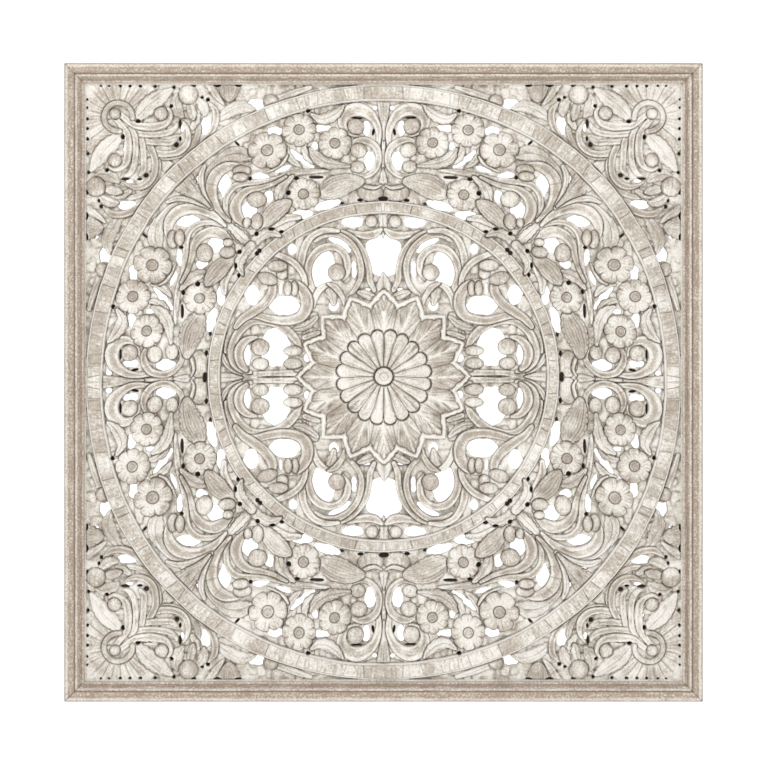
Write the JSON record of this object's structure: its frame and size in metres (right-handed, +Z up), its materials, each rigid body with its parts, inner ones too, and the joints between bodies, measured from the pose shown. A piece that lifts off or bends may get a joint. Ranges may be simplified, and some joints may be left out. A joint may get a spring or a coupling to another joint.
{
  "type": "carved wall panel",
  "caption": "Square pierced wood wall panel with a rosette, two rings, scrolling leaves and corner sunbursts carved in relief, set in a mitred limewashed moulding frame.",
  "frame": {"origin": "middle of the flat back of the frame's top rail, where a hook on the wall takes it", "axes": "+X to the viewer's right, +Z up, -Y out of the wall towards the viewer; the back lies on the plane Y = 0"},
  "size_m": [0.915, 0.028, 0.915],
  "materials": {
    "carving": "hand-carved hardwood, limewashed cream over brown and rubbed back, dead matt",
    "frame": "mitred wood moulding, limewashed cream over brown, speckled in the cove, dead matt"
  },
  "bodies": {
    "root": {"carved_panel": "carving", "frame_top": "frame", "frame_right": "frame", "frame_bottom": "frame", "frame_left": "frame"}
  },
  "joints": []
}
